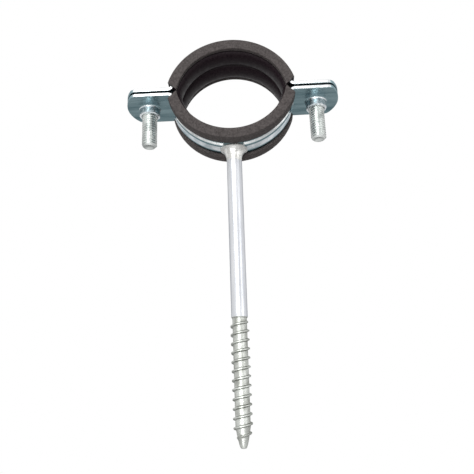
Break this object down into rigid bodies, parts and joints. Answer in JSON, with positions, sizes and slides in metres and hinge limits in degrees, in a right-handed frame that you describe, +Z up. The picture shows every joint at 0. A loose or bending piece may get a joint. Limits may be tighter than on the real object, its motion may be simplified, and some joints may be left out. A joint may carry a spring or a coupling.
{
  "type": "rubber lined pipe clamp",
  "caption": "Split steel pipe clamp with ribbed rubber linings, its eared halves drawn together by machine screws, on a welded wood screw.",
  "frame": {"origin": "middle of the pipe opening, in the plane where the two halves part", "axes": "+Z up, away from the wood screw; +Y along the pipe; +X along the ears"},
  "size_m": [0.0834, 0.0218, 0.1507],
  "materials": {
    "zinc_strip": "bright zinc plated strip with a bluish passivation",
    "rubber": "matt black extruded rubber",
    "zinc_screw": "satin zinc plated screw",
    "zinc_shank": "bright zinc plated wire with a rolled thread",
    "weld": "zinc plated weld metal, lumpy"
  },
  "bodies": {
    "lower_half": {"lower_band": "zinc_strip", "lower_lining": "rubber", "wood_screw": "zinc_shank", "weld_bead": "weld"},
    "upper_half": {"upper_band": "zinc_strip", "upper_lining": "rubber"},
    "left_screw": {"left_clamp_screw": "zinc_screw"},
    "right_screw": {"right_clamp_screw": "zinc_screw"}
  },
  "joints": [
    {"name": "upper_lift", "type": "slide", "parent": "lower_half", "child": "upper_half", "axis": [0, 0, 1], "range_m": [0, 0.01]},
    {"name": "left_screw_turn", "type": "hinge", "parent": "upper_half", "child": "left_screw", "pos_m": [-0.033, 0, 0], "axis": [0, 0, 1], "range_deg": [0, 3601]},
    {"name": "right_screw_turn", "type": "hinge", "parent": "upper_half", "child": "right_screw", "pos_m": [0.033, 0, 0], "axis": [0, 0, 1], "range_deg": [0, 3601]}
  ],
  "couplings": [
    {"joint": "left_screw_turn", "follows": "upper_lift", "rad_per_m": 6283.2},
    {"joint": "right_screw_turn", "follows": "upper_lift", "rad_per_m": 6283.2}
  ]
}
